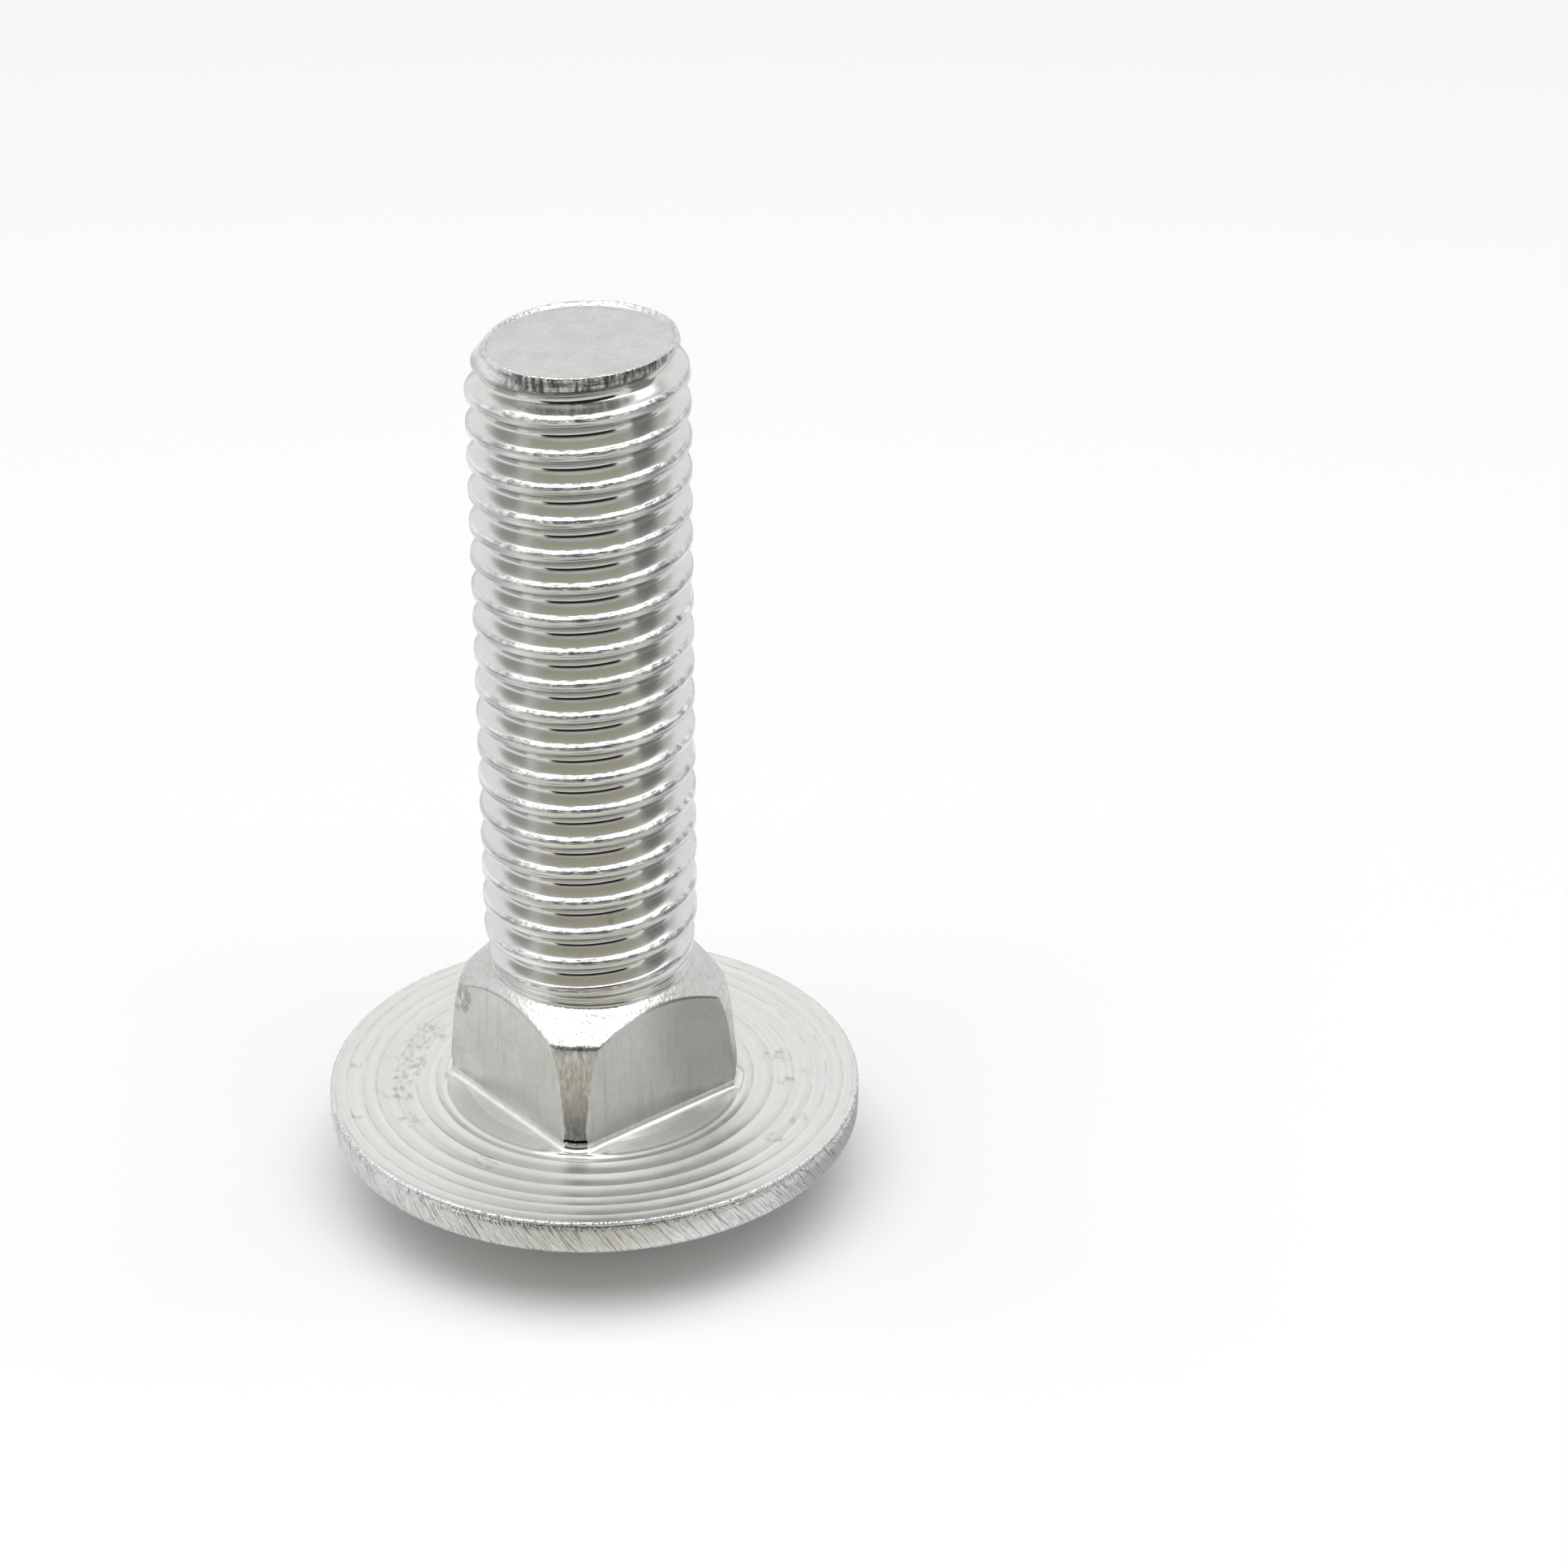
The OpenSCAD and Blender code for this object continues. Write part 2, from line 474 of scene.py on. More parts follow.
# How far each column lies from the middle of its flat, 0, to the corner, 1
QUARTER = np.round(AROUND / (math.pi / 2)) * math.pi / 2
FOLD = AROUND - QUARTER
SIDE = np.where(FOLD < 0, -1.0, 1.0)
SHARE = np.abs(FOLD) / (math.pi / 4)
FLAT_SHARE = 0.65
ON_FLAT = SHARE <= FLAT_SHARE + 1e-6

# The metal round the foot of the neck stands a little proud, most of all beside the flats
FOOT_RISE = 0.04 + 0.06 * (1 - SHARE**4)
FILLET_R = 0.25
NECK_FOOT = HEAD_H + FOOT_RISE + FILLET_R

# A thin gap runs under each corner's land, and its faces carry painted shade: its depth, and the heights
# above the fillet over which it opens and closes
GAP_DEPTH = 0.28
GAP_OPENS = (0.02, 0.06)
GAP_CLOSES = (0.14, 0.19)
GAP_MARGIN = 0.01


LAND_SWELL = 0.1


def land_radius(height):
    """The leaning land on the neck's corners, which swells a little above its foot."""
    up = np.clip((height - HEAD_H - FOOT_FILLET) / (CORNER_H - FOOT_FILLET), 0, 1)
    return LAND_FOOT_R + LAND_SWELL * hill(up, 0.15, 0.2) - (LAND_FOOT_R - LAND_TOP_R) * up**3.6


def neck_angle(height):
    """Angle of each column from the middle of its flat. The columns crowd at the corner's edges."""
    edge = np.arccos(NECK_HALF / land_radius(height))
    on_flat = edge * (1 - (1 - np.minimum(SHARE / FLAT_SHARE, 1)) ** 1.8)
    past = np.clip((SHARE - FLAT_SHARE) / (1 - FLAT_SHARE), 0, 1)
    return np.where(ON_FLAT, on_flat, edge + (math.pi / 4 - edge) * past**1.4)


# How far the edges between the flats, the lands and the shoulder are rounded over
CORNER_EDGE = 0.06
SHOULDER_EDGE = 0.09


def neck_radius(angle, height):
    """The neck's skin: flats, corner lands and the sloping shoulder, with soft edges between them."""
    flats = NECK_HALF / np.cos(angle)
    lands = land_radius(height)
    slope = LAND_TOP_R - (height - CORNER_Z) / math.tan(SHOULDER_SLOPE)
    skin = smooth_low(flats, lands, CORNER_EDGE)
    skin = smooth_low(skin, slope, SHOULDER_EDGE)
    over_foot = height - NECK_FOOT
    gap = ease(*GAP_OPENS, over_foot) * (1 - ease(*GAP_CLOSES, over_foot))
    return np.maximum(skin, SHANK_R) - ~ON_FLAT * GAP_DEPTH * gap


def neck_ring(height, flare=0.0, even=0.0):
    """One ring of the neck. even turns the columns back to their even spacing."""
    angle = neck_angle(height)
    angle = angle + (math.pi / 4 * SHARE - angle) * even
    radius = neck_radius(angle, height) + flare
    return turned_ring(radius, height, QUARTER + SIDE * angle)


# The pads round the foot of the neck, from the outside in: distance from the axis, rise above the face,
# how evenly the columns stand, and how far past the fillet the ring has to stay
PAD_RINGS = (
    (5.62, 0.0, 1.0, 1.0),
    (5.54, -0.004, 0.7, 0.85),
    (5.48, -0.014, 0.5, 0.7),
    (5.43, -0.022, 0.35, 0.55),
    (5.39, -0.016, 0.25, 0.45),
    (5.34, -0.008, 0.2, 0.35),
    (5.15, 0.014, 0.12, 0.2),
    (4.75, 0.052, 0.05, 0.0),
)
FILLET_RINGS = 8

# Rings of the wall: steps above the fillet, shares of the wall's height, steps at the arc where it meets the
# shoulder, and shares of the shoulder
GAP_STEPS = (0.02, 0.04, 0.06, 0.10, 0.14, 0.165, 0.19, 0.25, 0.35)
WALL_SHARES = (0.15, 0.22, 0.3, 0.4, 0.5, 0.6, 0.7, 0.8, 0.88)
ARC_STEPS = (-0.16, -0.09, -0.05, -0.02, 0.01, 0.04, 0.08, 0.14)
SHOULDER_SHARES = (0.3, 0.5, 0.7, 0.85, 0.95, 1.0)

# Which of the neck's rings each finish starts with
PAD_START = 4
FILLET_START = len(PAD_RINGS)
WALL_START = FILLET_START + FILLET_RINGS
ARC_RINGS_OF_WALL = 6
SHOULDER_START = WALL_START + len(GAP_STEPS) + len(WALL_SHARES) + ARC_RINGS_OF_WALL


def neck_rings():
    """From the pads round the foot of the neck up to the plain shank."""
    foot_angle = neck_angle(HEAD_H)
    foot = neck_radius(foot_angle, HEAD_H) + FILLET_R
    rings = []
    for radius, rise, even, share in PAD_RINGS:
        angle = foot_angle + (math.pi / 4 * SHARE - foot_angle) * even
        spread = np.maximum(radius, foot + 0.01 + 0.05 * share)
        close = 1 - ease(0.0, 0.08, spread - foot)
        level = rise + (FOOT_RISE - rise) * close
        rings.append(turned_ring(spread, HEAD_H + level, QUARTER + SIDE * angle))
    for bend in np.linspace(0, math.pi / 2, FILLET_RINGS):
        height = HEAD_H + FOOT_RISE + FILLET_R * (1 - math.cos(bend))
        rings.append(neck_ring(height, FILLET_R * (1 - math.sin(bend))))

    # The arc in which the shoulder meets each flat
    top_angle = neck_angle(CORNER_Z)
    arc = CORNER_Z + (LAND_TOP_R - NECK_HALF / np.cos(top_angle)) * math.tan(SHOULDER_SLOPE)
    arc = np.where(ON_FLAT, arc, CORNER_Z)
    for step in GAP_STEPS:
        rings.append(neck_ring(NECK_FOOT + step))
    for share in WALL_SHARES:
        rings.append(neck_ring(NECK_FOOT + (arc - NECK_FOOT) * share))
    for step in ARC_STEPS:
        rings.append(neck_ring(arc + step))
    over_arc = arc + ARC_STEPS[-1]
    for share in SHOULDER_SHARES:
        rings.append(neck_ring(over_arc + (SHOULDER_Z - over_arc) * share, even=ease(0.0, 1.0, share)))
    return rings


SHANK_STEP = 0.03


def shank_rings():
    """The plain shank between the neck and the thread, with the fine lines left by turning."""
    rings = []
    for height in np.arange(SHOULDER_Z + SHANK_STEP, THREAD_FOOT - 0.01, SHANK_STEP):
        lines = 0.05 * hill(height, SHOULDER_Z + 0.15, 0.035) + 0.03 * hill(height, SHOULDER_Z + 0.27, 0.025)
        rings.append(turned_ring(SHANK_R - lines, height))
    rings.append(turned_ring(SHANK_R, THREAD_FOOT))
    return rings


# The sheared end, from its edge inwards: distance in from the edge, drop below it, and how ragged the ring is
END_RINGS = (
    (0.03, -0.035, 0.6),
    (0.06, -0.065, 1.0),
    (0.095, -0.07, 1.0),
    (0.13, -0.03, 0.7),
    (0.165, 0.03, 0.4),
    (0.2, 0.08, 0.2),
    (0.25, 0.115, 0.1),
    (0.34, 0.12, 0.0),
    (1.1, 0.12, 0.0),
    (1.8, 0.12, 0.0),
    (2.6, 0.13, 0.0),
)
LIP_RINGS = 6


def close_end(shape, finish, lip_finish):
    """The sheared end: a ragged lip and a shallow dish in it, grown inwards from the thread's last row."""
    edge = [v for v in shape.verts if v.is_boundary and abs(v.co.z - BOLT_TOP * MM) < 1e-6]
    edge.sort(key=lambda v: math.atan2(v.co.y, v.co.x))
    rings = [edge]
    for inward, drop, ragged in END_RINGS:
        ring = []
        for corner in edge:
            around = corner.co.xy.normalized()
            uneven = noise.noise((9 * around.x, 9 * around.y, inward))
            uneven += noise.noise((3 * around.x, 3 * around.y, 5))
            height = BOLT_TOP - drop - 0.04 * ragged * (1 + uneven)
            radius = corner.co.xy.length / MM - inward
            ring.append(shape.verts.new((around.x * radius * MM, around.y * radius * MM, height * MM)))
        rings.append(ring)
    for row, (outer, inner) in enumerate(zip(rings, rings[1:])):
        for k in range(len(edge)):
            after = (k + 1) % len(edge)
            made = shape.faces.new((outer[k], outer[after], inner[after], inner[k]))
            made.material_index = lip_finish if row < LIP_RINGS else finish
    shape.faces.new(rings[-1]).material_index = finish


# How far down the shearing bent the end, and how much it bent it
LEAN_H = 0.9
LEAN_RISE = 0.06
LEAN_BACK = 0.15
LEAN_SIDE = 0.17
PRESSED_OVAL = 0.04
PRESSED_SIDE = 0.07


def lean_end(shape):
    """The end was sheared a little off square and pressed out of round. It is lowest on the camera's left."""
    for corner in shape.verts:
        part = min(max((corner.co.z / MM - BOLT_TOP + LEAN_H) / LEAN_H, 0), 1)
        if part > 0:
            turn = math.atan2(corner.co.y, corner.co.x) - CAMERA_POLAR
            out = corner.co.xy.length / MM / THREAD_R
            lean = out * (LEAN_BACK * math.cos(turn) + LEAN_SIDE * math.sin(turn))
            corner.co.z += part * (LEAN_RISE + lean) * MM
            on_side = hill(math.cos(turn + math.pi / 2), 1, 0.5)
            pressed = PRESSED_SIDE * on_side - PRESSED_OVAL * math.cos(2 * turn)
            rough = 0.012 * abs(noise.noise(corner.co * 4 / MM))
            corner.co.xy *= 1 - part * (pressed + rough)


def skin_of(stacks, crown_height):
    """Vertices, faces and a finish number for each face, from (finish number, rings) pairs in order.

    A point on the axis at crown_height closes the first ring.
    """
    points, faces, finishes = [], [], []
    for finish, rings in stacks:
        for ring in rings:
            start = len(points)
            below = start - COLUMNS
            points.extend(map(tuple, ring * MM))
            if start:
                for k in range(COLUMNS):
                    after = (k + 1) % COLUMNS
                    faces.append((below + k, below + after, start + after, start + k))
                    finishes.append(finish)
    crown = len(points)
    points.append((0, 0, crown_height * MM))
    for k in range(COLUMNS):
        faces.append((k, (k + 1) % COLUMNS, crown))
        finishes.append(stacks[0][0])
    return points, faces, finishes


# Finishes

PALE = (0.70, 0.70, 0.685, 1)
GREY = (0.66, 0.66, 0.64, 1)
FACE_LIGHT = (0.74, 0.74, 0.725, 1)
FACE_DARK = (0.71, 0.71, 0.69, 1)
FLANK_LIGHT = (0.69, 0.693, 0.675, 1)
FLANK_DARK = (0.66, 0.663, 0.645, 1)
RUBBED_CREST = (0.85, 0.85, 0.85, 1)
DRAWN_LINE = (0.36, 0.355, 0.345, 1)
TURNED_LINE = (0.42, 0.415, 0.40, 1)
STEP_SHADE = (0.3, 0.295, 0.28, 1)
STREAK = (0.3, 0.29, 0.27, 1)
RIM_STREAK = (0.22, 0.215, 0.205, 1)
SCUFF = (0.25, 0.24, 0.22, 1)
TORN_CREST = (0.24, 0.235, 0.225, 1)
FACE_PIT = (0.24, 0.23, 0.22, 1)
ROOT_SHADE = (0.24, 0.225, 0.2, 1)
FLAT_SHADE = (0.22, 0.22, 0.21, 1)
UNDER_LIP_SHADE = (0.16, 0.155, 0.145, 1)
DARK_PIT = (0.1, 0.09, 0.08, 1)
BRUISE = (0.06, 0.055, 0.05, 1)


def tone_group():
    """Uneven colour and roughness over a bare surface, from two sizes of cloud."""
    takes = {
        "Vector": ("Vector", None),
        "Scale": ("Float", 1.0),
        "Light colour": ("Color", (0.7, 0.7, 0.68, 1)),
        "Dark colour": ("Color", (0.6, 0.6, 0.58, 1)),
        "Low roughness": ("Float", 0.25),
        "High roughness": ("Float", 0.4),
    }
    gives = {"Colour": "Color", "Roughness": "Float"}
    tree, group_in, group_out = new_group("uneven_tone", "ShaderNodeTree", takes, gives)
    value = group_in.outputs
    place = value["Vector"]
    wide = put(tree, "ShaderNodeTexNoise", {"Vector": place, "Scale": value["Scale"], "Detail": 4.0})
    finer = sum_of(tree, "MULTIPLY", value["Scale"], 6.0)
    fine = put(tree, "ShaderNodeTexNoise", {"Vector": place, "Scale": finer, "Detail": 3.0})
    both = sum_of(tree, "MULTIPLY_ADD", fine.outputs[0], 0.5, sum_of(tree, "MULTIPLY", wide.outputs[0], 0.5))
    cloud = ramp(tree, both, 0.35, 0.65)
    colour = blend(tree, cloud, value["Dark colour"], value["Light colour"])
    rough = ramp(tree, cloud, 0.0, 1.0, value["High roughness"], value["Low roughness"], soft=False)
    tree.links.new(colour, group_out.inputs["Colour"])
    tree.links.new(rough, group_out.inputs["Roughness"])
    return tree


def lines_group():
    """Fine lines along one direction. Stretch gives how fast the pattern changes along X, Y and Z."""
    takes = {
        "Vector": ("Vector", None),
        "Stretch": ("Vector", (1, 1, 1)),
        "Sharpness": ("Float", 0.2),
    }
    tree, group_in, group_out = new_group("fine_lines", "ShaderNodeTree", takes, {"Lines": "Float"})
    value = group_in.outputs
    drawn = put(tree, "ShaderNodeVectorMath", {0: value["Vector"], 1: value["Stretch"]}, operation="MULTIPLY")
    grain = put(tree, "ShaderNodeTexNoise", {
        "Vector": drawn.outputs[0],
        "Scale": 1.0,
        "Detail": 2.0,
        "Roughness": 0.5,
    })
    low = sum_of(tree, "SUBTRACT", 0.5, value["Sharpness"])
    high = sum_of(tree, "ADD", 0.5, value["Sharpness"])
    tree.links.new(ramp(tree, grain.outputs[0], low, high, soft=False), group_out.inputs["Lines"])
    return tree


def thread_place_group():
    """Where a point lies on the thread's profile: its distance in millimetres up from the nearest crest."""
    takes = {"Vector": ("Vector", None), "Pitch": ("Float", PITCH), "Crest height": ("Float", CREST_AT)}
    tree, group_in, group_out = new_group("thread_place", "ShaderNodeTree", takes, {"Above crest": "Float"})
    value = group_in.outputs
    split = put(tree, "ShaderNodeSeparateXYZ", {0: value["Vector"]})
    turn = sum_of(tree, "DIVIDE", sum_of(tree, "ARCTAN2", split.outputs[1], split.outputs[0]), 2 * math.pi)
    up = sum_of(tree, "SUBTRACT", split.outputs[2], value["Crest height"])
    phase = sum_of(tree, "SUBTRACT", sum_of(tree, "DIVIDE", up, value["Pitch"]), turn)

    # Half a turn puts the crest in the middle of its pitch, and whole ones keep the sum above 0
    nearest = sum_of(tree, "FRACT", sum_of(tree, "ADD", phase, 40.5))
    above = sum_of(tree, "MULTIPLY", sum_of(tree, "SUBTRACT", nearest, 0.5), value["Pitch"])
    tree.links.new(above, group_out.inputs[0])
    return tree


TONE = tone_group()
LINES = lines_group()
THREAD_PLACE = thread_place_group()


def use(tree, group, **inputs):
    """Places a shared group in a material. Underscores stand for the spaces in its sockets' names."""
    made = put(tree, "ShaderNodeGroup", node_tree=group)
    for name, value in inputs.items():
        socket = made.inputs[name.replace("_", " ").capitalize()]
        if isinstance(value, bpy.types.NodeSocket):
            tree.links.new(value, socket)
        else:
            socket.default_value = value
    return made.outputs


def begin_finish(name):
    """A bare metal material, its tree and the object's own coordinates in millimetres."""
    material = bpy.data.materials.new(name)
    material.use_nodes = True
    tree = material.node_tree
    metal = tree.nodes["Principled BSDF"]
    metal.inputs["Metallic"].default_value = 1.0
    place = put(tree, "ShaderNodeTexCoord").outputs["Object"]
    in_mm = put(tree, "ShaderNodeVectorMath", {0: place, 3: 1 / MM}, operation="SCALE").outputs[0]
    return material, tree, metal, in_mm


def relief(tree, metal, *layers):
    """Sums the layers in one Bump node. Each is a height from 0 to 1 and how tall it is in millimetres."""
    total = 0.0
    for height, tall in layers:
        total = sum_of(tree, "MULTIPLY_ADD", height, tall, total)
    bump = put(tree, "ShaderNodeBump", {"Height": total, "Distance": MM, "Strength": 1.0})
    tree.links.new(bump.outputs[0], metal.inputs["Normal"])


def from_axis(tree, split):
    """Distance from the axis, from a split vector."""
    squared = sum_of(tree, "MULTIPLY", split.outputs[0], split.outputs[0])
    squared = sum_of(tree, "MULTIPLY_ADD", split.outputs[1], split.outputs[1], squared)
    return sum_of(tree, "SQRT", squared)


def lines_round(tree, split, radius, along, across, sharpness):
    """Fine lines round the axis. along and across say how fast they change along a ring and between rings."""
    lap = put(tree, "ShaderNodeCombineXYZ", {
        0: sum_of(tree, "MULTIPLY", split.outputs[0], along),
        1: sum_of(tree, "MULTIPLY", split.outputs[1], along),
        2: sum_of(tree, "MULTIPLY", radius, across),
    }).outputs[0]
    return use(tree, LINES, vector=lap, sharpness=sharpness)[0]


def near(tree, in_mm, place, reach):
    """1 at a place on the bolt, falling to 0 at this distance from it, both in millimetres."""
    away = put(tree, "ShaderNodeVectorMath", {0: in_mm, 1: place}, operation="DISTANCE").outputs["Value"]
    return ramp(tree, away, reach, reach * 0.4)


def on_ring(radius, degrees, height):
    """A point by its distance from the axis, its angle round it and its height."""
    turn = math.radians(degrees)
    return (radius * math.cos(turn), radius * math.sin(turn), height)


def scuffed(tree, in_mm, colour, scuffs):
    """Torn metal at each of the places given with their reach. Gives its mask and the colour with it."""
    here = 0.0
    for place, reach in scuffs:
        here = sum_of(tree, "MAXIMUM", here, near(tree, in_mm, place, reach))
    torn = use(tree, LINES, vector=in_mm, stretch=(4.5, 4.5, 1.6), sharpness=0.1)[0]
    torn = sum_of(tree, "MULTIPLY", torn, here)
    return torn, blend(tree, sum_of(tree, "MULTIPLY", torn, 0.6), colour, SCUFF)


SCUFF_DEPTH = 0.06


def grained_steel(name, light, dark, rough, stretch, grain, streak=0.0, streak_colour=STREAK, twist=0.0,
                  tone_scale=0.5, scuffs=(), painted_shade_at=None):
    """Bare steel with an uneven tone and lines in one direction.

    rough is its lowest and highest roughness. stretch is how fast the lines change along X, Y and Z, and
    grain how tall they are. twist turns them round the axis as they climb, and streak is how strongly they
    colour the steel. scuffs and duller give places with their reach. Towards the place that duller gives,
    the steel darkens as painted shade.
    """
    material, tree, metal, in_mm = begin_finish(name)
    tone = use(tree, TONE, vector=in_mm, scale=tone_scale, light_colour=light, dark_colour=dark,
               low_roughness=rough[0], high_roughness=rough[1])
    along = in_mm
    if twist:
        height = put(tree, "ShaderNodeSeparateXYZ", {0: in_mm}).outputs[2]
        turn = sum_of(tree, "MULTIPLY", height, twist)
        turned = put(tree, "ShaderNodeVectorRotate", {"Vector": in_mm, "Angle": turn}, rotation_type="Z_AXIS")
        along = turned.outputs[0]
    lines = use(tree, LINES, vector=along, stretch=stretch, sharpness=0.22)[0]
    colour = tone["Colour"]
    if streak:
        strong = ramp(tree, lines, 0.55, 1.0, 0.0, streak)
        colour = blend(tree, strong, colour, streak_colour)
    # Painted shade: the colour darkens towards the place given
    if painted_shade_at:
        shade = sum_of(tree, "MULTIPLY", near(tree, in_mm, *painted_shade_at), 0.6)
        colour = blend(tree, shade, colour, FLAT_SHADE)
    layers = [(lines, grain)]
    if scuffs:
        torn, colour = scuffed(tree, in_mm, colour, scuffs)
        layers.append((torn, SCUFF_DEPTH))
    tree.links.new(colour, metal.inputs["Base Color"])
    tree.links.new(tone["Roughness"], metal.inputs["Roughness"])
    relief(tree, metal, *layers)
    return material


def land_steel(scuffs):
    """The corner lands: mottled, and darker towards the foot."""
    material, tree, metal, in_mm = begin_finish("corner_land")
    height = put(tree, "ShaderNodeSeparateXYZ", {0: in_mm}).outputs[2]
    grain = use(tree, LINES, vector=in_mm, stretch=(7, 7, 3.0), sharpness=0.18)[0]
    shade = ramp(tree, height, HEAD_H + 2.9, HEAD_H + 0.2)
    light = blend(tree, shade, (0.72, 0.71, 0.70, 1), (0.34, 0.33, 0.305, 1))
    dark = blend(tree, shade, (0.46, 0.45, 0.435, 1), (0.2, 0.193, 0.18, 1))
    colour = blend(tree, grain, light, dark)
    torn, colour = scuffed(tree, in_mm, colour, scuffs)
    tree.links.new(colour, metal.inputs["Base Color"])
    tree.links.new(ramp(tree, grain, 0.0, 1.0, 0.26, 0.38), metal.inputs["Roughness"])
    relief(tree, metal, (grain, 0.01), (torn, SCUFF_DEPTH))
    return material


# A dark pit low on the thread, and a nick in a crest
THREAD_MARKS = (on_ring(3.7, -24.5, 13.3), on_ring(3.92, 23.5, 24.15))
MARK_REACH = 0.22


def thread_steel():
    """Rolled steel: smooth flanks with faint lines along the turns, and bright torn crests."""
    material, tree, metal, in_mm = begin_finish("rolled_thread")
    above = use(tree, THREAD_PLACE, vector=in_mm)[0]
    off = sum_of(tree, "ABSOLUTE", above)
    crest = ramp(tree, off, 0.23, 0.17)
    upper_lip = sum_of(tree, "MULTIPLY", ramp(tree, above, 0.02, 0.1), ramp(tree, above, 0.25, 0.19))
    root = ramp(tree, off, 0.46, 0.56)
    tone = use(tree, TONE, vector=in_mm, scale=0.8, light_colour=FLANK_LIGHT, dark_colour=FLANK_DARK,
               low_roughness=0.2, high_roughness=0.25)

    # One side of the thread was rubbed more than the rest
    facing = put(tree, "ShaderNodeVectorMath", {0: in_mm, 1: direction(12, 0)}, operation="DOT_PRODUCT")
    facing = facing.outputs["Value"]
    rubbed = ramp(tree, facing, 0.5, 2.6, 0.12, 1.0)

    # Lines along the turns: on the flanks they follow the radius, on the crests the height above the crest
    split = put(tree, "ShaderNodeSeparateXYZ", {0: in_mm})
    radius = from_axis(tree, split)
    across = sum_of(tree, "MULTIPLY_ADD", sum_of(tree, "ADD", radius, above), 14.0, split.outputs[2])
    lap = put(tree, "ShaderNodeCombineXYZ", {0: split.outputs[0], 1: split.outputs[1], 2: across}).outputs[0]
    torn = use(tree, LINES, vector=lap, stretch=(2.8, 2.8, 1.0), sharpness=0.14)[0]
    torn = sum_of(tree, "MULTIPLY", sum_of(tree, "SUBTRACT", 1.0, torn), upper_lip)
    torn = sum_of(tree, "MULTIPLY", torn, rubbed)
    drawn = use(tree, LINES, vector=lap, stretch=(0.35, 0.35, 1.0), sharpness=0.12)[0]
    drawn = sum_of(tree, "MULTIPLY", sum_of(tree, "SUBTRACT", 1.0, drawn), crest)

    colour = blend(tree, crest, tone["Colour"], RUBBED_CREST)
    colour = blend(tree, sum_of(tree, "MULTIPLY", drawn, 0.5), colour, DRAWN_LINE)
    colour = blend(tree, sum_of(tree, "MULTIPLY", torn, 0.8), colour, TORN_CREST)

    # Painted shade under the crest's lower lip on the side facing the camera, and a faint painted shade in
    # the root
    under_lip_shade = ramp(tree, sum_of(tree, "ABSOLUTE", sum_of(tree, "ADD", above, 0.155)), 0.065, 0.03)
    under_lip_shade = sum_of(tree, "MULTIPLY", under_lip_shade, ramp(tree, facing, 2.9, 3.7, 0.05, 0.8))
    colour = blend(tree, under_lip_shade, colour, UNDER_LIP_SHADE)
    colour = blend(tree, sum_of(tree, "MULTIPLY", root, 0.15), colour, ROOT_SHADE)
    marks = 0.0
    for place in THREAD_MARKS:
        marks = sum_of(tree, "MAXIMUM", marks, near(tree, in_mm, place, MARK_REACH))
    colour = blend(tree, sum_of(tree, "MULTIPLY", marks, 0.8), colour, DARK_PIT)

    # The last crest was crushed when the end was sheared
    crushed = ramp(tree, split.outputs[2], BOLT_TOP - 0.75, BOLT_TOP - 0.55)
    crushed = sum_of(tree, "MULTIPLY", crushed, ramp(tree, radius, 3.42, 3.5))
    crushed = sum_of(tree, "MULTIPLY", crushed, ramp(tree, facing, 1.6, 3.0))
    bruise = use(tree, LINES, vector=in_mm, stretch=(6, 6, 1.6), sharpness=0.12)[0]
    bruise = sum_of(tree, "MULTIPLY", sum_of(tree, "MULTIPLY_ADD", bruise, 0.7, 0.22), crushed)
    colour = blend(tree, bruise, colour, BRUISE)

    tree.links.new(colour, metal.inputs["Base Color"])
    rough = sum_of(tree, "MULTIPLY_ADD", crest, 0.08, tone["Roughness"])
    rough = sum_of(tree, "MULTIPLY_ADD", root, -0.1, rough)
    tree.links.new(rough, metal.inputs["Roughness"])
    relief(tree, metal, (drawn, -0.004), (torn, -0.016), (bruise, 0.03))
    return material


# Where the underside is pitted: distance from the axis, angle round it, and how far the pits spread
FACE_MARKS = (
    (7.0, 205, 1.0), (7.05, 213, 0.9), (7.1, 222, 1.1), (7.2, 231, 0.9), (7.3, 240, 0.9), (7.4, 255, 0.7),
    (9.1, 226, 0.4), (9.15, 248, 0.35), (6.9, 62, 0.7), (7.2, 47, 0.5), (7.9, 52, 0.4), (8.0, 18, 0.5),
    (8.15, 29, 0.6), (6.85, -72, 0.7),
)


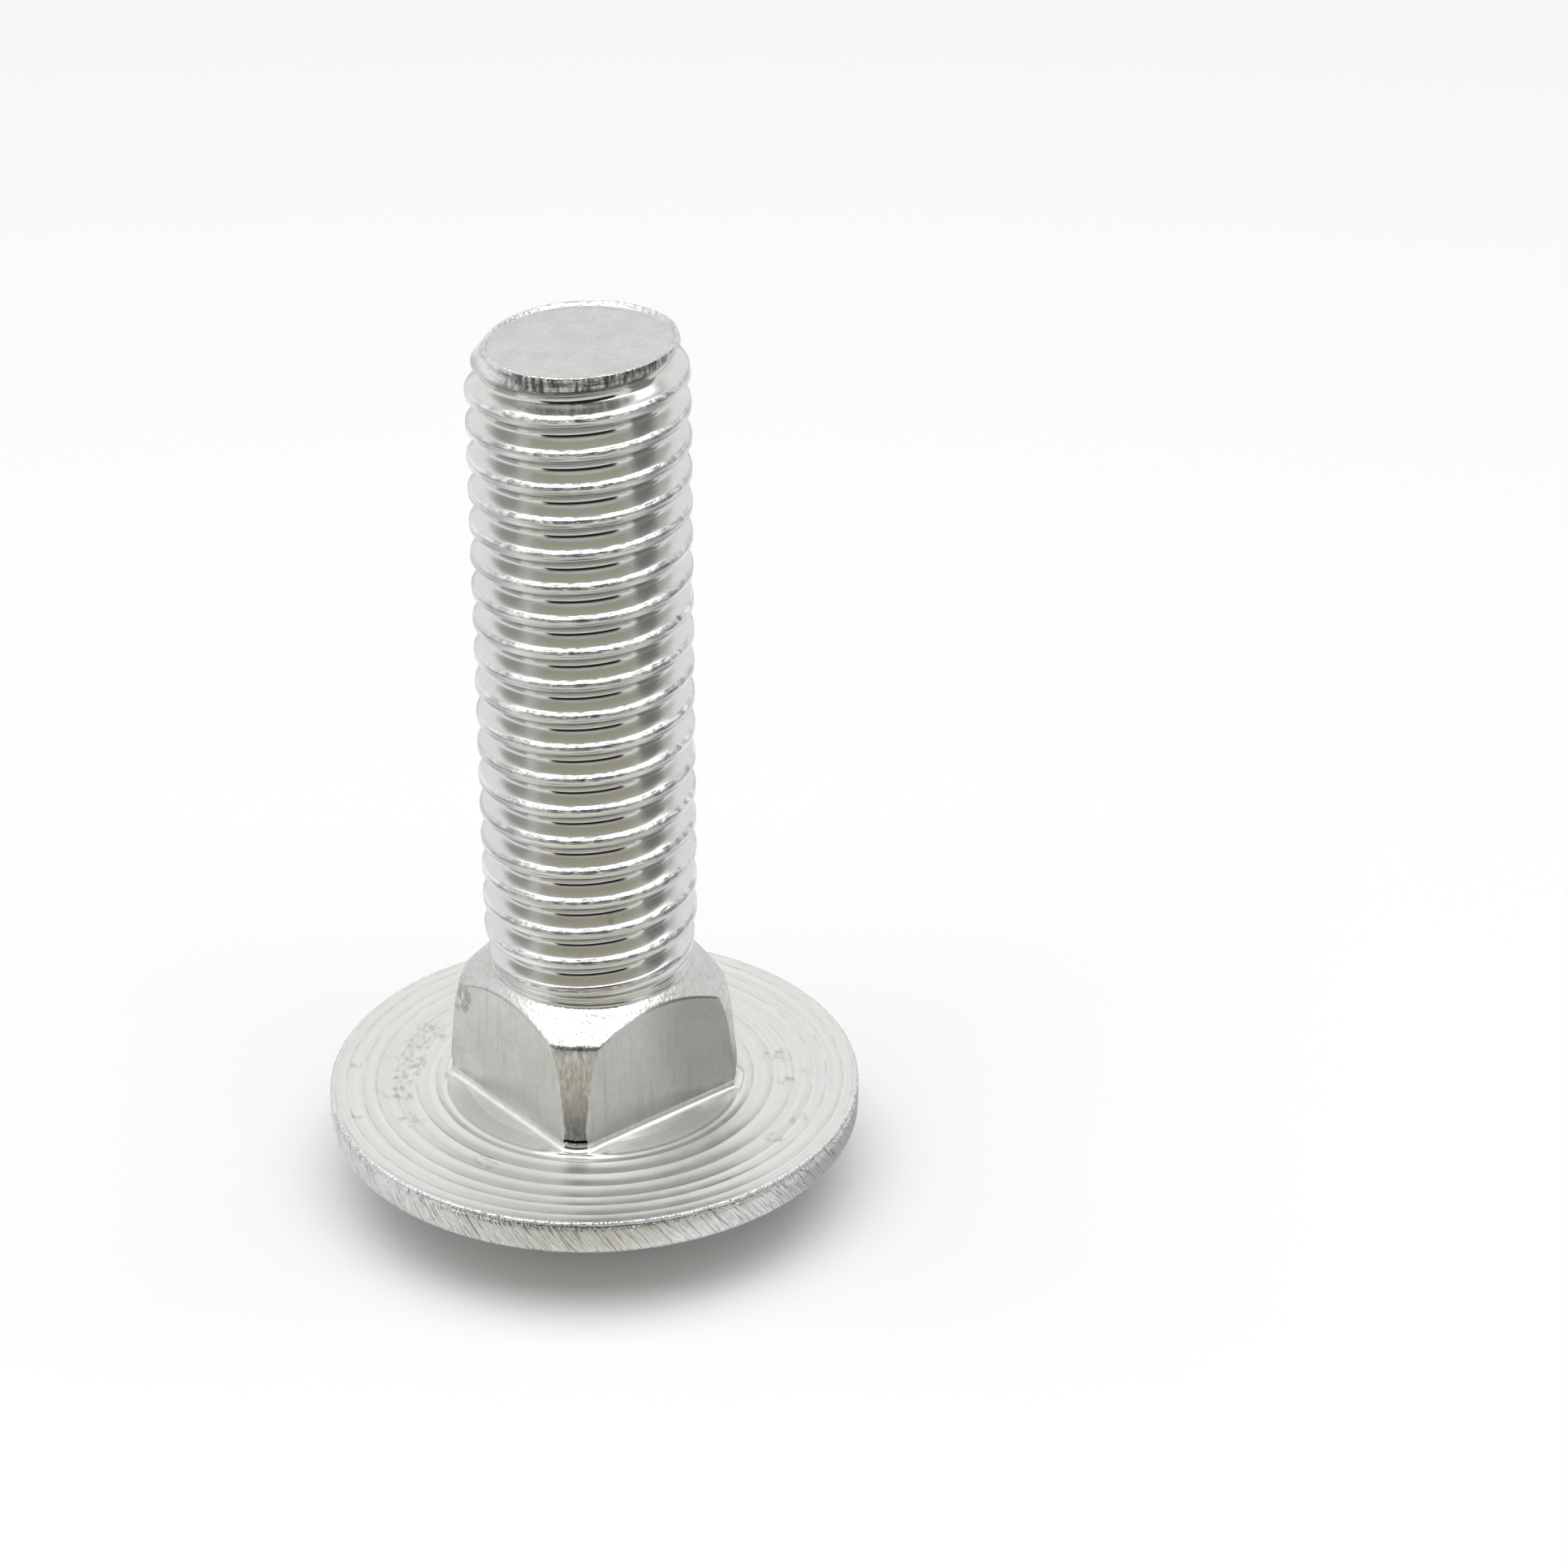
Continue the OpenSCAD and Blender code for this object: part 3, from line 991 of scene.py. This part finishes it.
def turned_steel():
    """The underside of the head: fine rings, dull lines between them, and the places where it is pitted."""
    material, tree, metal, in_mm = begin_finish("turned_face")
    tone = use(tree, TONE, vector=in_mm, scale=0.35, light_colour=FACE_LIGHT, dark_colour=FACE_DARK,
               low_roughness=0.38, high_roughness=0.46)
    split = put(tree, "ShaderNodeSeparateXYZ", {0: in_mm})
    radius = from_axis(tree, split)
    rings = lines_round(tree, split, radius, 0.12, 5.0, 0.15)
    colour = blend(tree, sum_of(tree, "MULTIPLY", rings, 0.2), tone["Colour"], TURNED_LINE)

    # Painted shade: a dark line just inside each tool step, broken by an uneven tone
    lines = 0.0
    for step in TURNED_STEPS[1:]:
        away = sum_of(tree, "ABSOLUTE", sum_of(tree, "SUBTRACT", radius, step - 0.04))
        lines = sum_of(tree, "MAXIMUM", lines, ramp(tree, away, 0.07, 0.01))
    broken = use(tree, LINES, vector=in_mm, sharpness=0.3)[0]
    lines = sum_of(tree, "MULTIPLY", lines, ramp(tree, broken, 0.2, 0.8, 0.0, 0.3))
    colour = blend(tree, lines, colour, STEP_SHADE)

    marked = 0.0
    for ring, degrees, reach in FACE_MARKS:
        marked = sum_of(tree, "MAXIMUM", marked, near(tree, in_mm, on_ring(ring, degrees, HEAD_H), reach))
    pits = lines_round(tree, split, radius, 3.0, 3.4, 0.3)
    pits = sum_of(tree, "MULTIPLY", ramp(tree, pits, 0.35, 1.0), marked)
    colour = blend(tree, sum_of(tree, "MULTIPLY", pits, 0.52), colour, FACE_PIT)
    tree.links.new(colour, metal.inputs["Base Color"])
    tree.links.new(tone["Roughness"], metal.inputs["Roughness"])
    relief(tree, metal, (rings, 0.002), (pits, -0.02))
    return material


# Torn places high on the left-hand corner of the neck, each with its reach
SCUFFS = (((-2.65, -NECK_HALF, CORNER_Z - 0.5), 0.9), ((-3.1, -NECK_HALF, CORNER_Z - 0.1), 0.7))


def make_finishes():
    """Every finish of the bolt by its name. Its place in this order is its number."""
    return {
        "thread": thread_steel(),
        "face": turned_steel(),
        "dome": grained_steel("pressed_dome", light=PALE, dark=GREY, rough=(0.25, 0.35),
                              stretch=(2, 2, 2), grain=0.003),
        "rim": grained_steel("ground_rim", light=(0.74, 0.745, 0.755, 1), dark=GREY, rough=(0.22, 0.32),
                             stretch=(9, 9, 1), grain=0.035, streak=0.75, streak_colour=RIM_STREAK,
                             twist=0.075),
        # Painted shade: the crease under the rim's lip is darker steel
        "crease_shade": grained_steel("lip_crease_shade", light=(0.32, 0.31, 0.29, 1), dark=(0.2, 0.195, 0.18, 1),
                                rough=(0.3, 0.4), stretch=(5, 5, 5), grain=0.02),
        # Painted shade: the pads beside the foot of the neck are darker than the face
        "pad_shade": grained_steel("pressed_pad_shaded", light=(0.57, 0.572, 0.552, 1), dark=(0.53, 0.532, 0.512, 1),
                             rough=(0.42, 0.5), stretch=(2, 2, 2), grain=0.001),
        "fillet": grained_steel("foot_fillet", light=(0.85, 0.85, 0.84, 1), dark=PALE, rough=(0.25, 0.35),
                                stretch=(3, 3, 3), grain=0.003),
        # The drawn flats darken towards the upper corner of the right-hand flat as painted shade
        "flat": grained_steel("drawn_flat", light=(0.625, 0.626, 0.605, 1), dark=(0.565, 0.563, 0.543, 1),
                              rough=(0.27, 0.33), stretch=(6, 6, 0.4), grain=0.0015, streak=0.25,
                              scuffs=SCUFFS, painted_shade_at=((NECK_HALF, 3.4, 7.6), 5.1)),
        "land": land_steel(SCUFFS),
        "shoulder": grained_steel("stippled_shoulder", light=(0.63, 0.63, 0.618, 1),
                                  dark=(0.57, 0.57, 0.556, 1), rough=(0.32, 0.4), stretch=(6, 6, 4),
                                  grain=0.017, streak=0.35, scuffs=SCUFFS),
        "shank": grained_steel("turned_shank", light=PALE, dark=GREY, rough=(0.2, 0.28),
                               stretch=(1, 1, 16), grain=0.004, streak=0.3),
        "end": grained_steel("sheared_end", light=(0.62, 0.638, 0.62, 1), dark=(0.53, 0.545, 0.53, 1),
                             rough=(0.35, 0.45), stretch=(2.5, 2.5, 2.5), grain=0.008, tone_scale=1.2),
        "lip": grained_steel("torn_lip", light=(0.82, 0.82, 0.81, 1), dark=GREY, rough=(0.2, 0.3),
                             stretch=(6, 6, 6), grain=0.035, streak=0.5),
        # Painted shade: the gap under each corner's land is near black
        "gap": grained_steel("gap_painted_shade", light=(0.05, 0.045, 0.04, 1), dark=(0.03, 0.027, 0.024, 1),
                             rough=(0.5, 0.7), stretch=(3, 3, 3), grain=0.002),
    }


def build_bolt():
    """The whole bolt as one closed mesh."""
    finishes = make_finishes()
    number = {name: k for k, name in enumerate(finishes)}
    rim = rim_rings()
    neck = neck_rings()
    body, body_faces, body_finish = skin_of([
        (number["dome"], dome_rings()),
        (number["rim"], rim[:CREASE_FROM]),
        (number["crease_shade"], rim[CREASE_FROM:CREASE_TO]),
        (number["rim"], rim[CREASE_TO:]),
        (number["face"], face_rings() + neck[:PAD_START]),
        (number["pad_shade"], neck[PAD_START:FILLET_START]),
        (number["fillet"], neck[FILLET_START:WALL_START]),
        (number["flat"], neck[WALL_START:SHOULDER_START]),
        (number["shoulder"], neck[SHOULDER_START:]),
        (number["shank"], shank_rings()),
    ], crown_height=0.0)

    # The corner columns of the wall are lands, with the gap at their foot, whose faces carry painted shade
    for k, finish in enumerate(body_finish):
        if finish == number["flat"]:
            column = k % COLUMNS
            if not ON_FLAT[column] or not ON_FLAT[(column + 1) % COLUMNS]:
                over_foot = body[body_faces[k][0]][2] / MM - NECK_FOOT[column]
                in_gap = GAP_OPENS[0] + GAP_MARGIN < over_foot < GAP_CLOSES[1] - GAP_MARGIN
                body_finish[k] = number["gap" if in_gap else "land"]

    mesh = bpy.data.meshes.new("bolt")
    shape = bmesh.new()
    shape.from_mesh(rolled_thread(finishes["thread"]))
    for face in shape.faces:
        face.material_index = number["thread"]
    close_end(shape, number["end"], number["lip"])
    corners = [shape.verts.new(p) for p in body]
    for face, finish in zip(body_faces, body_finish):
        made = shape.faces.new([corners[k] for k in face])
        made.material_index = finish
    bmesh.ops.remove_doubles(shape, verts=shape.verts, dist=2e-6)
    lean_end(shape)
    bmesh.ops.recalc_face_normals(shape, faces=shape.faces)
    for face in shape.faces:
        face.smooth = True
    open_edges = [e for e in shape.edges if len(e.link_faces) != 2]
    print("bolt: faces", len(shape.faces), "edges that don't join two faces", len(open_edges))
    shape.to_mesh(mesh)
    shape.free()
    for finish in finishes.values():
        mesh.materials.append(finish)
    bolt = bpy.data.objects.new("bolt", mesh)
    bpy.context.scene.collection.objects.link(bolt)
    return bolt


# The studio


def shows_background(tree):
    """1 for the rays that should see the background: the camera's, and those seen in metal and glass."""
    path = put(tree, "ShaderNodeLightPath").outputs
    seen = sum_of(tree, "MAXIMUM", path["Is Camera Ray"], path["Is Glossy Ray"])
    return sum_of(tree, "MAXIMUM", seen, path["Is Transmission Ray"])


def white_world(ambient):
    """White behind everything, and a plain soft level for the light that reaches the floor."""
    world = bpy.data.worlds.new("studio")
    bpy.context.scene.world = world
    world.use_nodes = True
    tree = world.node_tree
    back = tree.nodes["Background"]
    back.inputs["Color"].default_value = (1, 1, 1, 1)
    level = sum_of(tree, "MULTIPLY_ADD", shows_background(tree), 1.0 - ambient, ambient)
    tree.links.new(level, back.inputs["Strength"])


def plane(name, width, depth):
    """A flat rectangle that faces up."""
    mesh = bpy.data.meshes.new(name)
    x, y = width / 2, depth / 2
    mesh.from_pydata([(-x, -y, 0), (x, -y, 0), (x, y, 0), (-x, y, 0)], [], [(0, 1, 2, 3)])
    made = bpy.data.objects.new(name, mesh)
    bpy.context.scene.collection.objects.link(made)
    return made


def pale_floor(lift):
    """A plain pale floor. lift brings its open part up to white in the picture and keeps the shadow."""
    floor = plane("floor", 4.0, 4.0)
    material = bpy.data.materials.new("pale_floor")
    material.use_nodes = True
    tree = material.node_tree
    tree.nodes.clear()
    paper = put(tree, "ShaderNodeBsdfDiffuse", {"Color": (0.88, 0.88, 0.875, 1)})
    strength = sum_of(tree, "MULTIPLY", shows_background(tree), lift)
    glow = put(tree, "ShaderNodeEmission", {"Color": (1, 1, 1, 1), "Strength": strength})
    both = put(tree, "ShaderNodeAddShader", {0: paper.outputs[0], 1: glow.outputs[0]})
    out = put(tree, "ShaderNodeOutputMaterial")
    tree.links.new(both.outputs[0], out.inputs["Surface"])
    floor.data.materials.append(material)


def aimed(obj, place, target):
    """Puts obj at a place and turns its -Z side to the target."""
    turned = (target - place).to_track_quat("-Z", "Y").to_matrix().to_4x4()
    obj.matrix_world = Matrix.Translation(place) @ turned


def direction(from_front, elevation):
    """A unit vector by its angle to the right of the camera's side and its angle above the horizon."""
    turn = CAMERA_POLAR + math.radians(from_front)
    high = math.radians(elevation)
    return Vector((math.cos(turn) * math.cos(high), math.sin(turn) * math.cos(high), math.sin(high)))


def softbox(name, from_front, elevation, distance, width, depth, power):
    """A rectangular area lamp that looks at the bolt."""
    lamp = bpy.data.lights.new(name, "AREA")
    lamp.shape = "RECTANGLE"
    lamp.size = width
    lamp.size_y = depth
    lamp.energy = power
    made = bpy.data.objects.new(name, lamp)
    bpy.context.scene.collection.objects.link(made)
    aimed(made, MIDDLE + direction(from_front, elevation) * distance, MIDDLE)


def spot_at(from_front, distance, height):
    """A point by its angle from the camera's side, its distance from the bolt's axis, and its height."""
    flat = direction(from_front, 0) * distance
    return Vector((flat.x, flat.y, height))


def card(name, low, high, colour):
    """A plain card beside the set, which only the metal sees.

    Its low and its high edge each run from one angle to another at one distance and height, as for spot_at.
    """
    corners = [
        spot_at(low[0], *low[2:]),
        spot_at(low[1], *low[2:]),
        spot_at(high[1], *high[2:]),
        spot_at(high[0], *high[2:]),
    ]
    mesh = bpy.data.meshes.new(name)
    mesh.from_pydata(corners, [], [(0, 1, 2, 3)])
    made = bpy.data.objects.new(name, mesh)
    bpy.context.scene.collection.objects.link(made)
    material = bpy.data.materials.new(name)
    material.use_nodes = True
    tree = material.node_tree
    tree.nodes.clear()
    glow = put(tree, "ShaderNodeEmission", {"Color": (*colour, 1), "Strength": 1.0})
    tree.links.new(glow.outputs[0], put(tree, "ShaderNodeOutputMaterial").inputs["Surface"])
    mesh.materials.append(material)
    for ray in ("camera", "diffuse", "shadow", "transmission", "volume_scatter"):
        setattr(made, "visible_" + ray, False)


def take_picture_from():
    """The camera, where the photograph was taken from."""
    lens = bpy.data.cameras.new("camera")
    lens.sensor_width = SENSOR_WIDTH
    lens.lens = SENSOR_WIDTH * LENS_PIXELS / PICTURE_PIXELS
    lens.clip_start = 0.01
    camera = bpy.data.objects.new("camera", lens)
    bpy.context.scene.collection.objects.link(camera)
    right = Vector((-math.sin(CAMERA_POLAR), math.cos(CAMERA_POLAR), 0))
    target = right * AIM_RIGHT + Vector((0, 0, AIM_HEIGHT))
    aimed(camera, target + direction(0, CAMERA_ELEVATION) * CAMERA_DISTANCE, target)
    bpy.context.scene.camera = camera


take_picture_from()
white_world(ambient=0.32)
pale_floor(lift=0.03)
softbox("top_softbox", from_front=0, elevation=84, distance=0.5, width=0.8, depth=0.56, power=3.3)
card("front_flag", low=(-43, 43, 0.35, 0.03), high=(-48, 48, 0.28, 0.31), colour=(0.02, 0.02, 0.02))
card("right_wall", low=(66, 104, 0.35, 0.04), high=(66, 104, 0.35, 0.36), colour=(0.3, 0.3, 0.3))
card("back_flag", low=(120, 240, 0.3, 0.25), high=(110, 250, 0.1, 0.42), colour=(0.5, 0.5, 0.5))
card("front_floor", low=(-60, 60, 0.026, 0.0004), high=(-60, 60, 0.12, 0.0004), colour=(0.6, 0.58, 0.465))
card("left_flag", low=(-112, -74, 0.03, 0.0005), high=(-112, -74, 0.45, 0.06), colour=(0.5, 0.5, 0.5))
card("right_flag", low=(66, 98, 0.03, 0.0005), high=(66, 98, 0.45, 0.06), colour=(0.27, 0.27, 0.265))
card("rim_shade", low=(55, 130, 0.0115, 0.0005), high=(55, 130, 0.02, 0.0005), colour=(0.5, 0.5, 0.5))

bolt = build_bolt()
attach(bolt, "root")
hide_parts("carriage_bolt")

bpy.context.scene.view_settings.view_transform = "Standard"
